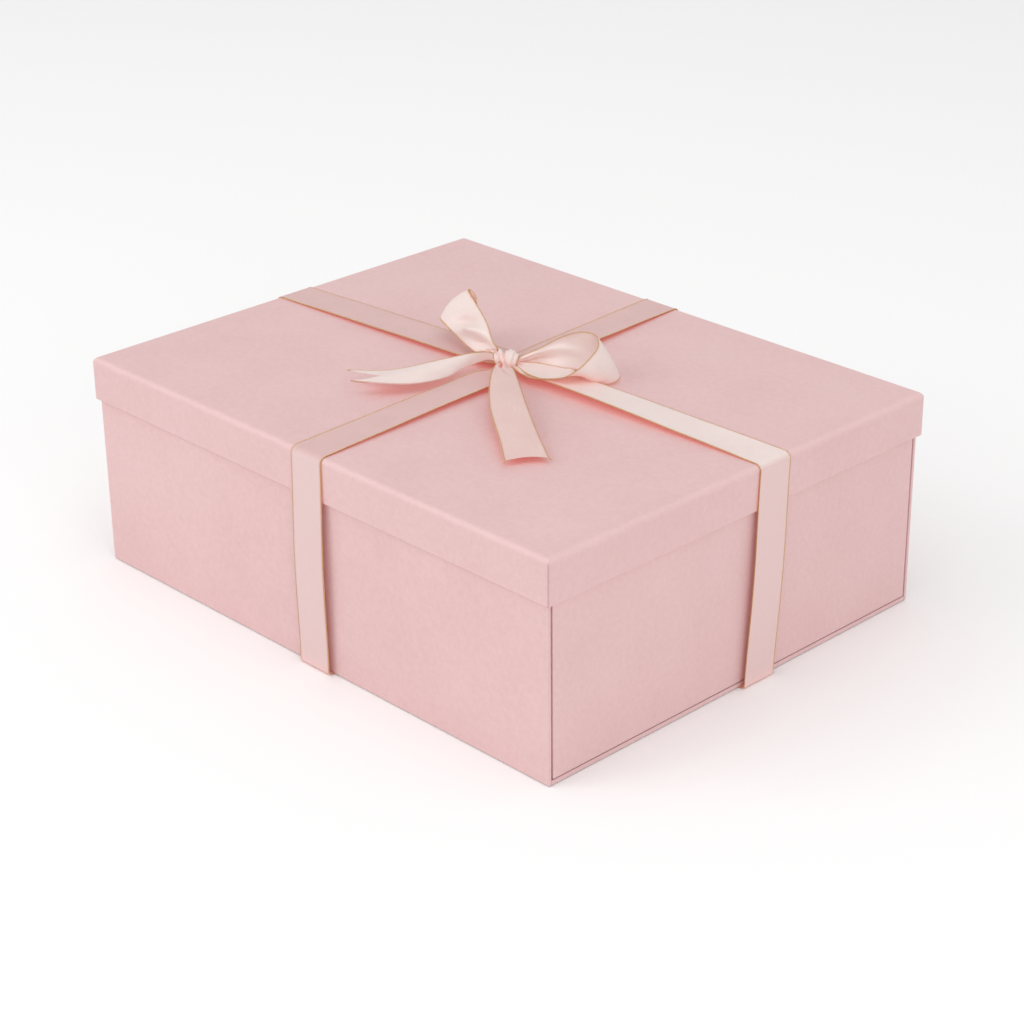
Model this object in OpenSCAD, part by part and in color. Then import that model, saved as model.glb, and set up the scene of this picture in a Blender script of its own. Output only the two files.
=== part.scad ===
// Rigid gift box: collapsible wrapped-board base, lift-off lid and a satin ribbon with a tied bow.
// +X runs along the box, the front long wall faces -Y, +Z is up, z = 0 is the surface it stands on.

/* [Box] */
// Outside length of the lid
box_l = 320; // [200:1:450]
// Outside width of the lid
box_w = 252; // [160:1:400]
// Height from the underside of the base to the top of the lid
box_h = 110.5; // [70:0.5:200]
// Height of the lid rim
rim_h = 22; // [15:0.5:45]
// Rounding of the lid's top edges and corners
edge_r = 2.5; // [1:0.1:2.5]

/* [Board and paper] */
// Thickness of the base board
base_board_t = 1.8; // [1.2:0.1:2.5]
// Thickness of the base's wall and end boards
wall_board_t = 1.2; // [1:0.1:2]
// Thickness of the lid's top board
top_board_t = 1.6; // [1.2:0.1:2.5]
// Thickness of the lid's rim boards
rim_board_t = 1.2; // [1:0.1:2]
// Thickness of the wrapping and lining paper
paper_t = 0.2; // [0.1:0.05:0.3]
// Width of paper turned in over the edge of a board
turn_in = 12; // [6:0.5:14]
// Length of each leg of the rim's corner stays
stay_l = 10; // [5:0.5:15]
// Thickness of the rim's corner stays, pressed into the boards
stay_t = 0.15; // [0.1:0.05:0.3]

/* [Corner tabs] */
// Thickness of the folded corner tabs
tab_t = 0.5; // [0.3:0.05:1]
// Length of each leg of a corner tab
tab_l = 20; // [10:1:30]
// Distance from a tab's ends to the floor and the wall's top
tab_inset = 8; // [3:0.5:12]
// Thickness of the adhesive under a tab
glue_t = 0.2; // [0.1:0.05:0.3]
// Margin between a tab's outline and its adhesive
glue_inset = 2; // [1:0.5:4]

/* [Fits] */
// Clearance between the lid's rim and the base walls
lid_gap = 0.4; // [0.3:0.1:1]
// Slot between an end panel and the long walls
end_slot = 1; // [0.5:0.1:2]
// Groove between an end panel and the base board
hinge_slot = 0.5; // [0.3:0.1:1]
// Clearance between the ribbon's straps and the lid's rim
strap_gap = 0.3; // [0.2:0.1:1]
// Clearance where the straps meet the stretches under the base
seam_gap = 0.1; // [0.05:0.05:0.3]

/* [Ribbon] */
// Width of the ribbon
ribbon_w = 20; // [12:1:26]
// Thickness of the ribbon
ribbon_t = 0.4; // [0.3:0.05:0.6]
// Inside radius of the ribbon's bend over the lid's edge
bend_r = 1.8; // [1.5:0.1:3]
// Outside radius of the ribbon's turn under the base
turn_r = 2; // [1:0.1:3]
// Where the knot sits along the box
knot_x = 1; // [-20:1:20]
// Where the knot sits across the box
knot_y = 4; // [-20:1:20]
// Where the front strap crosses the lid's edge
front_x = 4; // [-20:1:20]
// Where the back strap crosses the lid's edge
back_x = -9; // [-20:1:20]
// Where the left strap crosses the lid's edge
left_y = 3; // [-20:1:20]
// Where the right strap crosses the lid's edge
right_y = 17; // [-20:1:20]
// Sideways lean of the right strap, from the lid down to the base
right_lean = -7; // [-12:1:12]
// Sideways lean of the back strap, from the lid down to the base
back_lean = 6; // [-12:1:12]

/* [Bow] */
// Radius of the knot
knot_r = 5; // [4:0.5:7]
// Length of the knot
knot_l = 10; // [8:0.5:14]
// Length of the left loop
left_loop_l = 46; // [30:1:60]
// Length of the right loop
right_loop_l = 44; // [30:1:60]
// Opening between a loop's two layers
loop_open = 14; // [8:0.5:20]
// Length of the left tail
left_tail_l = 72; // [50:1:95]
// Length of the front tail
front_tail_l = 99; // [60:1:110]
// Depth of the notch in the left tail's end
notch_l = 11; // [6:0.5:14]
// Share of its width that the ribbon is gathered to at the knot
pinch = 0.3; // [0.25:0.01:0.5]

/* [Hidden] */
$fn = 48;

// Heights
z_base = ribbon_t;
z_top = z_base + box_h;
z_rim = z_top - rim_h;
z_ceiling = z_top - top_board_t - 2 * paper_t;
floor_t = base_board_t + 2 * paper_t;
z_floor = z_base + floor_t;
z_end = z_floor + hinge_slot;

// Plan sizes, as half lengths along X and half widths along Y
lid_x = box_l / 2;
lid_y = box_w / 2;
rim_t = rim_board_t + 2 * paper_t;
base_x = lid_x - rim_t - lid_gap;
base_y = lid_y - rim_t - lid_gap;
wall_t = wall_board_t + 2 * paper_t;
end_y = base_y - wall_t - end_slot;
strap_x = lid_x + strap_gap + ribbon_t;
strap_y = lid_y + strap_gap + ribbon_t;

// The bow stands on the arms that cross under it
z_arm = z_top + ribbon_t;
knot = [knot_x, knot_y, z_arm + knot_r];
knot_turn = 10;
pinch_start = 7;
flare = 1.6;
steps = 24;

paper_pink = [0.87, 0.74, 0.74];
board_grey = [0.62, 0.58, 0.54];
lining_white = [0.95, 0.93, 0.91];
satin_pink = [0.92, 0.79, 0.75];

function unit(v) = v / norm(v);
function mix(a, b, s) = a + (b - a) * s;
function turned(a, b, c, s) = s < 0.5 ? unit(mix(a, b, 2 * s)) : unit(mix(b, c, 2 * s - 1));
function bezier(p, s) = pow(1 - s, 3) * p[0] + 3 * s * pow(1 - s, 2) * p[1]
                      + 3 * s * s * (1 - s) * p[2] + pow(s, 3) * p[3];

// A block from its lowest to its highest corner
module block(low, high) {
    translate(low) cube(high - low);
}

// A copy on the other side of the plane through the origin
module both_sides(side) {
    children();
    mirror(side) children();
}

// Puts its children on one of the four sides, facing outwards from +X
module on_side(turn) {
    rotate([0, 0, turn]) children();
}

// A band of ribbon through centre points, each with its half-width vector
module band(centres, halves) {
    last = len(centres) - 1;
    rings = [for (i = [0:last])
        let (along = centres[min(i + 1, last)] - centres[max(i - 1, 0)],
             out = unit(cross(along, halves[i])) * ribbon_t / 2)
        each [centres[i] - halves[i] - out, centres[i] + halves[i] - out,
              centres[i] + halves[i] + out, centres[i] - halves[i] + out]];
    sides = [for (i = [0:last - 1], k = [0:3])
        let (a = 4 * i + k, b = 4 * i + (k + 1) % 4)
        each [[a, b, b + 4], [a, b + 4, a + 4]]];
    ends = [[3, 2, 1], [3, 1, 0], [4 * last, 4 * last + 1, 4 * last + 2],
            [4 * last, 4 * last + 2, 4 * last + 3]];
    polyhedron(rings, concat(sides, ends), convexity = 6);
}

// A bow loop from the knot out along one direction and back, open towards another
module loop(root, out, open_to, across, loop_l) {
    share = [for (i = [0:steps]) i / steps];
    grip = 2 * ribbon_t;
    band([for (s = share) root + out * loop_l * pow(sin(180 * s), 0.8)
            + open_to * (loop_open / 2 * sin(360 * s) + grip * cos(180 * s))],
         [for (s = share) turned(across[0], across[1], across[2], s)
            * ribbon_w / 2 * (pinch + (1 - pinch) * pow(sin(180 * s), 0.6))]);
}

// A bow tail along a curve, widening from the knot to the ribbon's full width
module tail(curve, across) {
    share = [for (i = [0:steps]) i / steps];
    band([for (s = share) bezier(curve, s)],
         [for (s = share) unit(mix(across[0], across[1], s))
            * ribbon_w / 2 * min(1, pinch + (1 - pinch) * 2.5 * s)]);
}

// ---- Base ----

module long_wall_board() {
    block([-base_x + paper_t, -base_y + paper_t, z_base + paper_t],
          [base_x - paper_t, -base_y + paper_t + wall_board_t, z_ceiling - paper_t]);
}

module front_wall_board() {
    color(board_grey) long_wall_board();
}

module back_wall_board() {
    color(board_grey) mirror([0, 1, 0]) long_wall_board();
}

module base_board() {
    color(board_grey)
        block([-base_x + paper_t, -base_y + paper_t + wall_board_t, z_base + paper_t],
              [base_x - paper_t, base_y - paper_t - wall_board_t, z_floor - paper_t]);
}

module end_board() {
    block([base_x - paper_t - wall_board_t, -end_y + paper_t, z_end + paper_t],
          [base_x - paper_t, end_y - paper_t, z_ceiling - paper_t]);
}

module left_end_board() {
    color(board_grey) mirror([1, 0, 0]) end_board();
}

module right_end_board() {
    color(board_grey) end_board();
}

// One sheet over the floor and up the long walls, short of the turned-in paper
module lining_sheet() {
    lining_x = base_x - turn_in;
    inner_y = base_y - paper_t - wall_board_t;
    block([-lining_x, -inner_y, z_floor - paper_t], [lining_x, inner_y, z_floor]);
    both_sides([0, 1, 0])
        block([-lining_x, -inner_y, z_floor - paper_t],
              [lining_x, -inner_y + paper_t, z_ceiling - turn_in]);
}

module base_lining() {
    color(lining_white) lining_sheet();
}

// The pink paper round the base board and the long walls, turned in over every edge
module base_wrap() {
    color(paper_pink) difference() {
        union() {
            block([-base_x, -base_y, z_base], [base_x, base_y, z_floor]);
            both_sides([0, 1, 0])
                block([-base_x, -base_y, z_base], [base_x, -base_y + wall_t, z_ceiling]);
        }
        both_sides([0, 1, 0]) long_wall_board();
        base_board();
        lining_sheet();
    }
}

module end_lining_sheet() {
    inner_x = base_x - wall_t;
    block([inner_x, -end_y + turn_in, z_end + turn_in],
          [inner_x + paper_t, end_y - turn_in, z_ceiling - turn_in]);
}

module left_end_lining() {
    color(lining_white) mirror([1, 0, 0]) end_lining_sheet();
}

module right_end_lining() {
    color(lining_white) end_lining_sheet();
}

module end_wrap() {
    difference() {
        block([base_x - wall_t, -end_y, z_end], [base_x, end_y, z_ceiling]);
        end_board();
        end_lining_sheet();
    }
}

module left_end_wrap() {
    color(paper_pink) mirror([1, 0, 0]) end_wrap();
}

module right_end_wrap() {
    color(paper_pink) end_wrap();
}

// The tab's outer corner, where the end panel's inside meets the adhesive on the long wall
tab_x = base_x - wall_t;
tab_y = base_y - wall_t - glue_t;
tab_low = z_end + tab_inset;
tab_high = z_ceiling - tab_inset;

module tab(x_side, y_side) {
    translate([0, 0, tab_low]) linear_extrude(tab_high - tab_low)
        polygon([for (p = [[0, 0], [-tab_l, 0], [-tab_l, -tab_t], [-tab_t, -tab_t],
                           [-tab_t, -tab_l], [0, -tab_l]])
            [x_side * (tab_x + p[0]), y_side * (tab_y + p[1])]]);
}

module front_left_tab() {
    color(paper_pink) tab(-1, -1);
}

module front_right_tab() {
    color(paper_pink) tab(1, -1);
}

module back_left_tab() {
    color(paper_pink) tab(-1, 1);
}

module back_right_tab() {
    color(paper_pink) tab(1, 1);
}

module tab_glue() {
    color("white") both_sides([1, 0, 0]) both_sides([0, 1, 0])
        block([tab_x - tab_l + glue_inset, tab_y, tab_low + glue_inset],
              [tab_x - glue_inset, tab_y + glue_t, tab_high - glue_inset]);
}

// ---- Lid ----

// A block with rounded upright corners and a rounded top edge, open to cutting from below
module soft_block(half_x, half_y, z_low, z_high, r) {
    hull() both_sides([1, 0, 0]) both_sides([0, 1, 0])
        translate([half_x - r, half_y - r, 0]) {
            translate([0, 0, z_high - r]) sphere(r, $fn = 32);
            translate([0, 0, z_low]) cylinder(z_high - r - z_low, r = r, $fn = 32);
        }
}

// The lid without its paper
module lid_core() {
    soft_block(lid_x - paper_t, lid_y - paper_t, z_rim + paper_t, z_top - paper_t,
               edge_r - paper_t);
}

module lid_top_board() {
    color(board_grey) intersection() {
        lid_core();
        block([-lid_x, -lid_y, z_ceiling + paper_t], [lid_x, lid_y, z_top]);
    }
}

// Paper stays pressed into the outside of the rim's four corners
module stays() {
    intersection() {
        difference() {
            lid_core();
            soft_block(lid_x - paper_t - stay_t, lid_y - paper_t - stay_t, z_rim, z_top,
                       edge_r - paper_t - stay_t);
        }
        both_sides([1, 0, 0]) both_sides([0, 1, 0])
            block([lid_x - stay_l, lid_y - stay_l, z_rim + 2 * paper_t],
                  [lid_x, lid_y, z_ceiling]);
    }
}

module long_rim() {
    difference() {
        intersection() {
            lid_core();
            block([-lid_x, -lid_y, z_rim],
                  [lid_x, -lid_y + paper_t + rim_board_t, z_ceiling + paper_t]);
        }
        stays();
    }
}

module end_rim() {
    difference() {
        intersection() {
            lid_core();
            block([lid_x - paper_t - rim_board_t, -lid_y + paper_t + rim_board_t, z_rim],
                  [lid_x, lid_y - paper_t - rim_board_t, z_ceiling + paper_t]);
        }
        stays();
    }
}

module lid_front_rim() {
    color(board_grey) long_rim();
}

module lid_back_rim() {
    color(board_grey) mirror([0, 1, 0]) long_rim();
}

module lid_left_rim() {
    color(board_grey) mirror([1, 0, 0]) end_rim();
}

module lid_right_rim() {
    color(board_grey) end_rim();
}

module lid_corner_stays() {
    color("white") stays();
}

module lid_wrap() {
    color(paper_pink) difference() {
        soft_block(lid_x, lid_y, z_rim, z_top, edge_r);
        difference() {
            lid_core();
            block([-lid_x + rim_t - paper_t, -lid_y + rim_t - paper_t, z_rim],
                  [lid_x - rim_t + paper_t, lid_y - rim_t + paper_t, z_ceiling + paper_t]);
        }
        block([-lid_x + rim_t, -lid_y + rim_t, z_rim - 1],
              [lid_x - rim_t, lid_y - rim_t, z_ceiling + paper_t]);
    }
}

module lid_lining() {
    color(lining_white)
        block([-lid_x + rim_t, -lid_y + rim_t, z_ceiling],
              [lid_x - rim_t, lid_y - rim_t, z_ceiling + paper_t]);
}

// ---- Ribbon ----

// An arm lies on the lid, from the gathers at the knot to the lid's edge on the +X side
module arm(from, edge_x, edge_y) {
    along = unit([edge_x, edge_y] - from);
    sideways = [-along[1], along[0]];
    near = from + along * pinch_start;
    full = near + along * flare * ribbon_w;
    bend_x = edge_x - ribbon_t - bend_r;
    translate([0, 0, z_top]) linear_extrude(ribbon_t)
        polygon([near + sideways * pinch * ribbon_w / 2, near - sideways * pinch * ribbon_w / 2,
                 full - sideways * ribbon_w / 2, [bend_x, edge_y - ribbon_w / 2],
                 [bend_x, edge_y + ribbon_w / 2], full + sideways * ribbon_w / 2]);
}

// A strap bends over the lid's edge on the +X side and hangs down to the base's underside
module strap(edge_x, edge_y, lean) {
    z_bend = z_arm - ribbon_t - bend_r;
    z_low = turn_r + seam_gap;
    translate([edge_x - ribbon_t - bend_r, edge_y + ribbon_w / 2, z_bend])
        rotate([90, 0, 0]) linear_extrude(ribbon_w) quarter_ring(bend_r, bend_r + ribbon_t);
    translate([edge_x - ribbon_t, 0, 0]) rotate([90, 0, 90]) linear_extrude(ribbon_t)
        polygon([[edge_y - ribbon_w / 2, z_bend], [edge_y + lean - ribbon_w / 2, z_low],
                 [edge_y + lean + ribbon_w / 2, z_low], [edge_y + ribbon_w / 2, z_bend]]);
}

module quarter_ring(r_in, r_out) {
    intersection() {
        difference() {
            circle(r_out);
            circle(r_in);
        }
        square(r_out);
    }
}

// Where a point of the box's frame lies in the frame of a side turned to +X
function left_frame(p) = [-p[0], -p[1]];
function front_frame(p) = [-p[1], p[0]];
function back_frame(p) = [p[1], -p[0]];
knot_plan = [knot_x, knot_y];

module ribbon_right_arm() {
    color(satin_pink) arm(knot_plan, strap_x, right_y);
}

module ribbon_left_arm() {
    color(satin_pink) on_side(180) arm(left_frame(knot_plan), strap_x, -left_y);
}

module ribbon_front_arm() {
    color(satin_pink) on_side(-90) arm(front_frame(knot_plan), strap_y, front_x);
}

module ribbon_back_arm() {
    color(satin_pink) on_side(90) arm(back_frame(knot_plan), strap_y, -back_x);
}

module ribbon_right_strap() {
    color(satin_pink) strap(strap_x, right_y, right_lean);
}

module ribbon_left_strap() {
    color(satin_pink) on_side(180) strap(strap_x, -left_y, 0);
}

module ribbon_front_strap() {
    color(satin_pink) on_side(-90) strap(strap_y, front_x, 0);
}

module ribbon_back_strap() {
    color(satin_pink) on_side(90) strap(strap_y, -back_x, -back_lean);
}

// The turn from under the base up to a strap, on the +X side
module turn_up(edge_x, edge_y) {
    translate([edge_x - turn_r, edge_y + ribbon_w / 2, turn_r]) rotate([90, 0, 0])
        linear_extrude(ribbon_w) mirror([0, 1, 0]) quarter_ring(turn_r - ribbon_t, turn_r);
}

// A flat stretch under the base, from its end on the -X side to its end on the +X side
module under_sheet(half, from_y, to_y, w) {
    linear_extrude(ribbon_t)
        polygon([[-half, from_y - w / 2], [half, to_y - w / 2],
                 [half, to_y + w / 2], [-half, from_y + w / 2]]);
}

module ribbon_under_long() {
    color(satin_pink) {
        under_sheet(strap_x - turn_r, left_y, right_y + right_lean, ribbon_w);
        turn_up(strap_x, right_y + right_lean);
        on_side(180) turn_up(strap_x, -left_y);
    }
}

// The short stretch stops at each side of the long one, which lies flat through the crossing
module ribbon_under_short() {
    color(satin_pink) {
        difference() {
            on_side(90) under_sheet(strap_y - turn_r, -front_x, -back_x - back_lean, ribbon_w);
            under_sheet(strap_x, left_y, right_y + right_lean, ribbon_w + 2 * seam_gap);
        }
        on_side(-90) turn_up(strap_y, front_x);
        on_side(90) turn_up(strap_y, -back_x - back_lean);
    }
}

// ---- Bow ----

knot_along = [cos(knot_turn), sin(knot_turn), 0];
knot_front = [sin(knot_turn), -cos(knot_turn), 0];
// The loops stand on their lower edges, so they rise with the ribbon's width
left_loop_out = unit([-0.94, 0.25, 0.0115 * ribbon_w]);
right_loop_out = unit([0.82, 0.56, 0.0055 * ribbon_w]);
left_tail_out = unit([-0.51, -0.86, 0]);
front_tail_out = unit([0.79, -0.61, 0]);
loop_clear = 0.2;
loop_root = knot_l / 2 + loop_clear + pinch * ribbon_w / 4 + 2 * ribbon_t;
tail_clear = 2.5;

function tail_root(s) = knot + knot_along * s + knot_front * (knot_r + tail_clear) + [0, 0, -1];

// A tail's curve: it leaves the knot, rises a little, and comes down to hover over the lid
function tail_curve(root, out, tail_l, rise, end_rise) = [
    root,
    root + out * 0.3 * tail_l + [0, 0, rise],
    root + out * 0.65 * tail_l + [0, 0, rise],
    root + out * tail_l + [0, 0, end_rise]
];

left_tail_line = tail_curve(tail_root(-2.5), left_tail_out, left_tail_l, 5, 2);
front_tail_line = tail_curve(tail_root(3.5), front_tail_out, front_tail_l, 6, -1.5);

// A crowned barrel, lying along the line between the two loops
module bow_knot() {
    crown_r = 0.8 * knot_l;
    color(satin_pink) translate(knot) rotate([0, 90, knot_turn]) rotate_extrude()
        intersection() {
            translate([knot_r - crown_r, 0]) circle(crown_r);
            translate([0, -knot_l / 2]) square([knot_r, knot_l]);
        }
}

module bow_left_loop() {
    color(satin_pink)
        loop(knot + left_loop_out * loop_root, left_loop_out, [0, -0.69, 0.72],
             [[0.1, 0.75, 0.65], [0.3, 0.69, 0.66], [0.1, 0.75, 0.65]], left_loop_l);
}

module bow_right_loop() {
    color(satin_pink)
        loop(knot + right_loop_out * loop_root, right_loop_out,
             [-0.28, 0.91, 0.31], [[0.2, 0.6, 0.8], [-0.59, -0.2, 0.78], [0, -0.9, 0.4]],
             right_loop_l);
}

module bow_left_tail() {
    end = left_tail_line[3];
    mouth = 2;
    color(satin_pink) difference() {
        tail(left_tail_line, [[0.75, -0.6, 0.2], [0.8, -0.59, 0.15]]);
        translate([end[0], end[1], z_arm])
            rotate([0, 0, atan2(left_tail_out[1], left_tail_out[0])])
            linear_extrude(4 * knot_r)
            polygon([[-notch_l, 0], [mouth, -ribbon_w / 2 * (1 + mouth / notch_l)],
                     [mouth, ribbon_w / 2 * (1 + mouth / notch_l)]]);
    }
}

module bow_front_tail() {
    color(satin_pink) tail(front_tail_line, [[0.69, 0.72, 0], [0.57, 0.82, 0]]);
}

base_board();
front_wall_board();
back_wall_board();
left_end_board();
right_end_board();
base_wrap();
left_end_wrap();
right_end_wrap();
base_lining();
left_end_lining();
right_end_lining();
front_left_tab();
front_right_tab();
back_left_tab();
back_right_tab();
tab_glue();
ribbon_under_long();
ribbon_under_short();
lid_top_board();
lid_front_rim();
lid_back_rim();
lid_left_rim();
lid_right_rim();
lid_corner_stays();
lid_wrap();
lid_lining();
ribbon_left_arm();
ribbon_right_arm();
ribbon_front_arm();
ribbon_back_arm();
ribbon_left_strap();
ribbon_right_strap();
ribbon_front_strap();
ribbon_back_strap();
bow_knot();
bow_left_loop();
bow_right_loop();
bow_left_tail();
bow_front_tail();
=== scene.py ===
import math
import bpy
import numpy as np
from mathutils import Matrix, Vector


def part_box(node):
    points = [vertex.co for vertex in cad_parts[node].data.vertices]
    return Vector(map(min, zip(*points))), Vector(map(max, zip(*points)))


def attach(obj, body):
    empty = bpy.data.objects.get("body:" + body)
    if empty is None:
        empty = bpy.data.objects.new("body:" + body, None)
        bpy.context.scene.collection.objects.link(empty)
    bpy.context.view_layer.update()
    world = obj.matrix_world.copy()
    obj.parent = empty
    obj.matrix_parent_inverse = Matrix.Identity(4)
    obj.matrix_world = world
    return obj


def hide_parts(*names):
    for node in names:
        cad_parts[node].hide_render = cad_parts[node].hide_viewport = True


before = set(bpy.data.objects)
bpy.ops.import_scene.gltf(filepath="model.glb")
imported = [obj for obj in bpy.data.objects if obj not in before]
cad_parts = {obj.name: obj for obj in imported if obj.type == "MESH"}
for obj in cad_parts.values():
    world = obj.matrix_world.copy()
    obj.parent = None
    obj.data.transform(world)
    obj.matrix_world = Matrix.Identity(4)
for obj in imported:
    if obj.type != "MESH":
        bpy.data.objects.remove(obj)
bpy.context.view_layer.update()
mm = 0.001

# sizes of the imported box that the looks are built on
lidLow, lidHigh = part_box("lid_wrap")
baseLow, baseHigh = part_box("base_wrap")
boardLow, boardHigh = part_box("base_board")
wallLow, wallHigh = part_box("front_wall_board")
liningLow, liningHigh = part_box("base_lining")
ceilingLow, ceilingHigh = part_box("lid_lining")
paperT = boardLow.z - baseLow.z
wallT = wallHigh.y - wallLow.y + 2 * paperT
rimT = ceilingLow.x - lidLow.x
lidTop = lidHigh.z
print("frame read, lid top at", round(lidTop / mm, 1), "mm")


shot = {"place": (0.8215, -0.7809, 0.5760), "azimuth": 46.189, "elevation": 25.433,
        "roll": -0.647, "lens": 88.81, "sensor": 36}


def addCamera(look):
    azimuth, elevation, roll = (math.radians(look[k]) for k in ("azimuth", "elevation", "roll"))
    back = Vector((math.sin(azimuth) * math.cos(elevation),
                   -math.cos(azimuth) * math.cos(elevation), math.sin(elevation)))
    level = Vector((math.cos(azimuth), math.sin(azimuth), 0))
    upright = back.cross(level)
    right = level * math.cos(roll) + upright * math.sin(roll)
    up = upright * math.cos(roll) - level * math.sin(roll)
    bpy.ops.object.camera_add(location=look["place"])
    camera = bpy.context.object
    camera.name = "camera"
    turned = Matrix((right, up, back)).transposed().to_4x4()
    camera.matrix_world = Matrix.Translation(look["place"]) @ turned
    camera.data.lens = look["lens"]
    camera.data.sensor_width = look["sensor"]
    bpy.context.scene.camera = camera


studio = {
    "floorSize": 8,
    "floorTone": 0.99,
    "skyStrength": 0.73,
    # name, place, what it points at, width, watts
    "lamps": [("softboxLeft", (-1.1, -1.9, 1.5), (0, 0, 0.05), 1.5, 14),
              ("softboxRight", (2.2, -0.7, 0.8), (0, 0, 0.05), 1.4, 8),
              ("softboxTop", (0.3, -0.4, 2.2), (0, 0, 0.1), 1.8, 9)],
}


def addStudio(look):
    bpy.ops.mesh.primitive_plane_add(size=look["floorSize"])
    floor = bpy.context.object
    floor.name = "floor"
    sweep = bpy.data.materials.new("paleSweep")
    sweep.use_nodes = True
    shader = sweep.node_tree.nodes["Principled BSDF"]
    shader.inputs["Base Color"].default_value = (look["floorTone"],) * 3 + (1,)
    shader.inputs["Roughness"].default_value = 0.9
    floor.data.materials.append(sweep)
    world = bpy.data.worlds.new("studio")
    bpy.context.scene.world = world
    world.use_nodes = True
    sky = world.node_tree.nodes["Background"]
    sky.inputs["Color"].default_value = (1, 1, 1, 1)
    sky.inputs["Strength"].default_value = look["skyStrength"]
    for name, place, aim, width, watts in look["lamps"]:
        bpy.ops.object.light_add(type="AREA", location=place)
        lamp = bpy.context.object
        lamp.name = name
        lamp.data.size = width
        lamp.data.energy = watts
        away = Vector(place) - Vector(aim)
        lamp.rotation_euler = away.to_track_quat("Z", "Y").to_euler()
    bpy.context.scene.view_settings.view_transform = "Standard"


addCamera(shot)
addStudio(studio)
print("camera and studio set")


def newGroup(name, inputs, outputs):
    group = bpy.data.node_groups.new(name, "ShaderNodeTree")
    for label, kind, value in inputs:
        socket = group.interface.new_socket(label, in_out="INPUT", socket_type="NodeSocket" + kind)
        socket.default_value = value
    for label, kind in outputs:
        group.interface.new_socket(label, in_out="OUTPUT", socket_type="NodeSocket" + kind)
    return group, group.nodes.new("NodeGroupInput").outputs, group.nodes.new("NodeGroupOutput").inputs


# puts a value on a socket, or links another node's output to it
def feed(tree, socket, value):
    if isinstance(value, bpy.types.NodeSocket):
        tree.links.new(value, socket)
    else:
        socket.default_value = value


def addNode(tree, kind, sockets=None, **settings):
    node = tree.nodes.new("ShaderNode" + kind)
    for label, value in settings.items():
        setattr(node, label, value)
    for label, value in (sockets or {}).items():
        feed(tree, node.inputs[label], value)
    return node


def maths(tree, operation, a, b=0.0):
    node = addNode(tree, "Math", {0: a, 1: b}, operation=operation)
    return node.outputs[0]


def mixColour(tree, amount, a, b, blend="MIX"):
    return addNode(tree, "Mix", {0: amount, 6: a, 7: b}, data_type="RGBA", blend_type=blend).outputs[2]


def spread(tree, value, low, high, toLow=0.0, toHigh=1.0):
    sockets = {"Value": value, "From Min": low, "From Max": high, "To Min": toLow, "To Max": toHigh}
    return addNode(tree, "MapRange", sockets).outputs["Result"]


# fine felt-marked grain of a coated paper, with broad soft mottling
def makePaperGrain():
    group, given, out = newGroup(
        "paperGrain",
        [("Vector", "Vector", (0, 0, 0)), ("Grain", "Float", 1400.0), ("Mottle", "Float", 26.0),
         ("Stretch", "Float", 1.0)],
        [("Tone", "Float"), ("Fleck", "Float"), ("Height", "Float")])
    fine = addNode(group, "TexNoise", {"Vector": given["Vector"], "Scale": given["Grain"],
                                       "Detail": 3.0, "Roughness": 0.6})
    felt = addNode(group, "TexNoise", {"Vector": given["Vector"], "Detail": 2.0, "Roughness": 0.55,
                                       "Scale": maths(group, "MULTIPLY", given["Grain"], 0.28)})
    broad = addNode(group, "TexNoise", {"Vector": given["Vector"], "Scale": given["Mottle"],
                                        "Detail": 4.0, "Roughness": 0.5})
    fineTone = maths(group, "MULTIPLY", fine.outputs["Fac"], 0.35)
    feltTone = maths(group, "MULTIPLY", felt.outputs["Fac"], 0.35)
    broadTone = maths(group, "MULTIPLY", broad.outputs["Fac"], 0.3)
    tone = maths(group, "ADD", maths(group, "ADD", fineTone, feltTone), broadTone)
    group.links.new(tone, out["Tone"])
    group.links.new(spread(group, fine.outputs["Fac"], 0.62, 0.75), out["Fleck"])
    group.links.new(maths(group, "ADD", fineTone, feltTone), out["Height"])
    return group


# how close a point is to the outer arrises of a block with these half sizes
def makeArris():
    group, given, out = newGroup(
        "arris",
        [("Vector", "Vector", (0, 0, 0)), ("Half X", "Float", 0.16), ("Half Y", "Float", 0.126),
         ("Top", "Float", 0.11), ("Reach", "Float", 0.002)],
        [("Upright", "Float"), ("Upper", "Float")])
    place = addNode(group, "SeparateXYZ", {"Vector": given["Vector"]})
    fromX = maths(group, "SUBTRACT", given["Half X"], maths(group, "ABSOLUTE", place.outputs["X"]))
    fromY = maths(group, "SUBTRACT", given["Half Y"], maths(group, "ABSOLUTE", place.outputs["Y"]))
    fromTop = maths(group, "SUBTRACT", given["Top"], place.outputs["Z"])
    side = maths(group, "MINIMUM", fromX, fromY)
    corner = maths(group, "MAXIMUM", fromX, fromY)
    upper = maths(group, "MAXIMUM", side, fromTop)
    for distance, label in ((corner, "Upright"), (upper, "Upper")):
        near = maths(group, "SUBTRACT", 1.0, maths(group, "DIVIDE", distance, given["Reach"]))
        group.links.new(addNode(group, "Clamp", {"Value": near}).outputs[0], out[label])
    return group


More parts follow.
